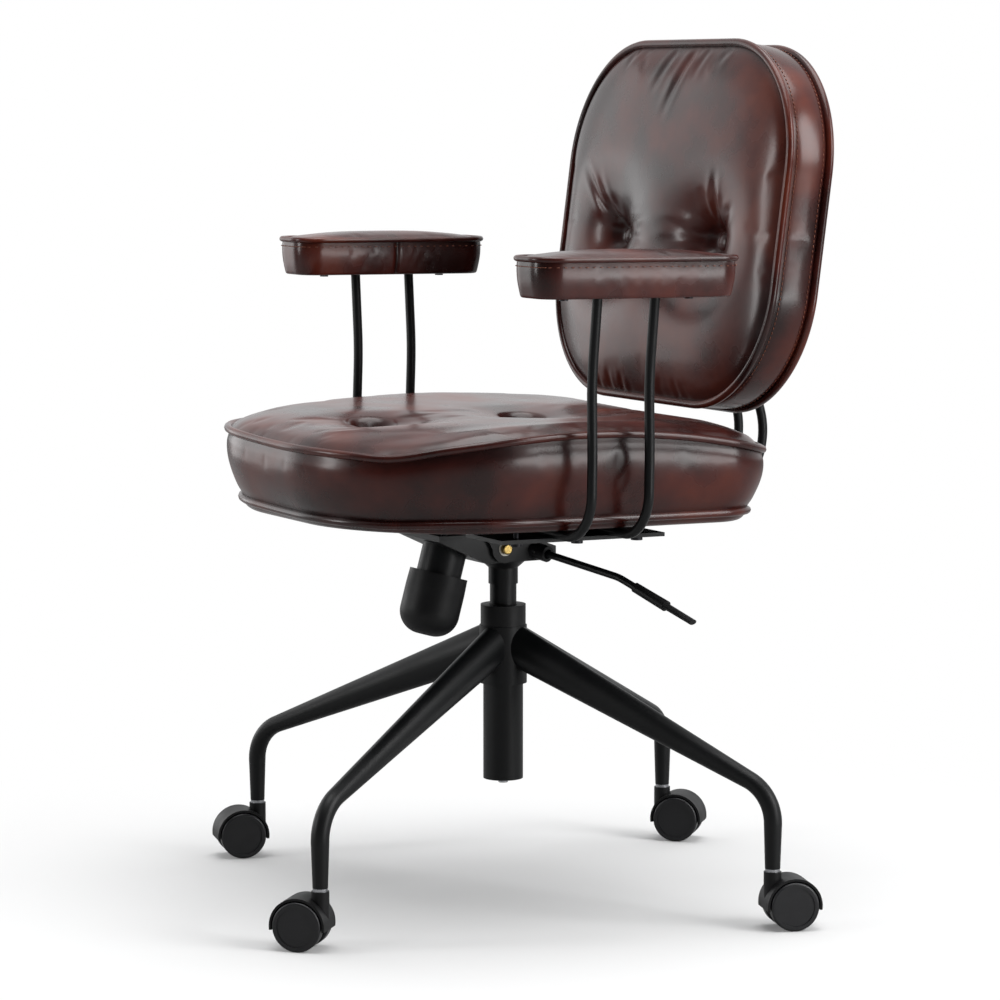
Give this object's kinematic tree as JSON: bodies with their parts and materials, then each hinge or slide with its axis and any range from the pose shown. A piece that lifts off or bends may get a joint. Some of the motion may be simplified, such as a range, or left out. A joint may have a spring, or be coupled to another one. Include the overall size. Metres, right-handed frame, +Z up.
{
  "type": "office chair",
  "caption": "Swivel office chair with a boxed leather seat, button-tufted back, padded armrests, gas lift, tilt tension knob and steel legs on twin-wheel casters.",
  "frame": {"origin": "on the floor under the swivel axis", "axes": "+Z up, the chair faces -Y, +X is the sitter's left"},
  "size_m": [0.6393, 0.6716, 0.8907],
  "materials": {
    "leather": "gloss",
    "powder_coat": "satin",
    "black_plastic": "satin",
    "wheel_plastic": "satin",
    "steel": "satin",
    "dark_steel": "satin",
    "pivot_steel": "satin",
    "bush_plastic": "matte",
    "plywood": "matte"
  },
  "bodies": {
    "base": {"base_hub": "powder_coat", "leg_1": "powder_coat", "leg_2": "powder_coat", "leg_3": "powder_coat", "leg_4": "powder_coat", "caster_sockets": "black_plastic", "column_tube": "powder_coat", "column_guide_bush": "bush_plastic", "column_collar": "black_plastic", "thrust_bearing": "steel"},
    "spindle": {"piston_rod": "steel", "column_clip": "steel"},
    "mechanism": {"gas_cylinder": "powder_coat", "mechanism_housing": "powder_coat", "tilt_pivot_pin": "pivot_steel", "spring_sleeve": "powder_coat", "tension_spring": "steel", "lever_bush": "bush_plastic", "lever_pin": "steel"},
    "release_pin": {"release_pin": "steel"},
    "lever": {"lever_rod": "powder_coat", "lever_grip": "black_plastic"},
    "seat": {"seat_plate": "powder_coat", "pivot_bushes": "bush_plastic", "seat_board": "plywood", "seat_cushion": "leather", "seat_bolts": "dark_steel", "frame_bolts": "dark_steel", "arm_frame_left": "powder_coat", "arm_frame_right": "powder_coat", "arm_pad_left": "leather", "arm_pad_right": "leather", "arm_pad_screws": "dark_steel", "back_frame": "powder_coat", "back_board": "plywood", "back_cushion": "leather", "back_buttons": "leather", "back_screws": "dark_steel"},
    "tension_rod": {"tension_bolt": "steel"},
    "knob": {"tension_knob": "black_plastic"},
    "caster_1": {"caster_1_stem": "steel", "caster_1_hood": "black_plastic", "caster_1_axle": "steel"},
    "caster_1_left_wheel": {"caster_1_left_wheel": "wheel_plastic"},
    "caster_1_right_wheel": {"caster_1_right_wheel": "wheel_plastic"},
    "caster_2": {"caster_2_stem": "steel", "caster_2_hood": "black_plastic", "caster_2_axle": "steel"},
    "caster_2_left_wheel": {"caster_2_left_wheel": "wheel_plastic"},
    "caster_2_right_wheel": {"caster_2_right_wheel": "wheel_plastic"},
    "caster_3": {"caster_3_stem": "steel", "caster_3_hood": "black_plastic", "caster_3_axle": "steel"},
    "caster_3_left_wheel": {"caster_3_left_wheel": "wheel_plastic"},
    "caster_3_right_wheel": {"caster_3_right_wheel": "wheel_plastic"},
    "caster_4": {"caster_4_stem": "steel", "caster_4_hood": "black_plastic", "caster_4_axle": "steel"},
    "caster_4_left_wheel": {"caster_4_left_wheel": "wheel_plastic"},
    "caster_4_right_wheel": {"caster_4_right_wheel": "wheel_plastic"}
  },
  "joints": [
    {"name": "swivel", "type": "hinge", "parent": "base", "child": "spindle", "pos_m": [0, 0, 0.121], "axis": [0, 0, 1], "continuous": true},
    {"name": "lift", "type": "slide", "parent": "spindle", "child": "mechanism", "axis": [0, 0, 1], "range_m": [0, 0.065]},
    {"name": "tilt", "type": "hinge", "parent": "mechanism", "child": "seat", "pos_m": [0, -0.025, 0.371], "axis": [-1, 0, 0], "range_deg": [0, 12], "stiffness_Nm_per_rad": 150, "springref_deg": -17.19},
    {"name": "tension_slide", "type": "slide", "parent": "mechanism", "child": "tension_rod", "axis": [0, 0.2672, 0.9636], "range_m": [0, 0.0088], "deforming": ["tension_spring"]},
    {"name": "knob_turn", "type": "hinge", "parent": "tension_rod", "child": "knob", "pos_m": [0, -0.06547, 0.38222], "axis": [0, 0.2672, 0.9636], "continuous": true},
    {"name": "lever", "type": "hinge", "parent": "mechanism", "child": "lever", "pos_m": [0.04981, 0.01494, 0.36605], "axis": [0.2874, -0.9578, 0], "range_deg": [0, 4.5], "stiffness_Nm_per_rad": 1, "springref_deg": -11.46},
    {"name": "release_press", "type": "slide", "parent": "mechanism", "child": "release_pin", "axis": [0, 0, -1], "range_m": [0, 0.0035]},
    {"name": "caster_1_swivel", "type": "hinge", "parent": "base", "child": "caster_1", "pos_m": [0.28917, 0.15053, 0.062], "axis": [0, 0, 1], "continuous": true},
    {"name": "caster_1_left_roll", "type": "hinge", "parent": "caster_1", "child": "caster_1_left_wheel", "pos_m": [0.29472, 0.1687, 0.025], "axis": [-0.9563, 0.2924, 0], "continuous": true},
    {"name": "caster_1_right_roll", "type": "hinge", "parent": "caster_1", "child": "caster_1_right_wheel", "pos_m": [0.29472, 0.1687, 0.025], "axis": [-0.9563, 0.2924, 0], "continuous": true},
    {"name": "caster_2_swivel", "type": "hinge", "parent": "base", "child": "caster_2", "pos_m": [-0.15053, 0.28917, 0.062], "axis": [0, 0, 1], "continuous": true},
    {"name": "caster_2_left_roll", "type": "hinge", "parent": "caster_2", "child": "caster_2_left_wheel", "pos_m": [-0.13733, 0.30283, 0.025], "axis": [-0.7193, 0.6947, 0], "continuous": true},
    {"name": "caster_2_right_roll", "type": "hinge", "parent": "caster_2", "child": "caster_2_right_wheel", "pos_m": [-0.13733, 0.30283, 0.025], "axis": [-0.7193, 0.6947, 0], "continuous": true},
    {"name": "caster_3_swivel", "type": "hinge", "parent": "base", "child": "caster_3", "pos_m": [-0.28917, -0.15053, 0.062], "axis": [0, 0, 1], "continuous": true},
    {"name": "caster_3_left_roll", "type": "hinge", "parent": "caster_3", "child": "caster_3_left_wheel", "pos_m": [-0.29376, -0.16897, 0.025], "axis": [0.9703, -0.2419, 0], "continuous": true},
    {"name": "caster_3_right_roll", "type": "hinge", "parent": "caster_3", "child": "caster_3_right_wheel", "pos_m": [-0.29376, -0.16897, 0.025], "axis": [0.9703, -0.2419, 0], "continuous": true},
    {"name": "caster_4_swivel", "type": "hinge", "parent": "base", "child": "caster_4", "pos_m": [0.15053, -0.28917, 0.062], "axis": [0, 0, 1], "continuous": true},
    {"name": "caster_4_left_roll", "type": "hinge", "parent": "caster_4", "child": "caster_4_left_wheel", "pos_m": [0.13709, -0.3026, 0.025], "axis": [0.7071, -0.7071, 0], "continuous": true},
    {"name": "caster_4_right_roll", "type": "hinge", "parent": "caster_4", "child": "caster_4_right_wheel", "pos_m": [0.13709, -0.3026, 0.025], "axis": [0.7071, -0.7071, 0], "continuous": true}
  ],
  "couplings": [
    {"joint": "tension_slide", "follows": "tilt", "m_per_rad": 0.042},
    {"joint": "release_press", "follows": "lever", "m_per_rad": 0.044}
  ]
}
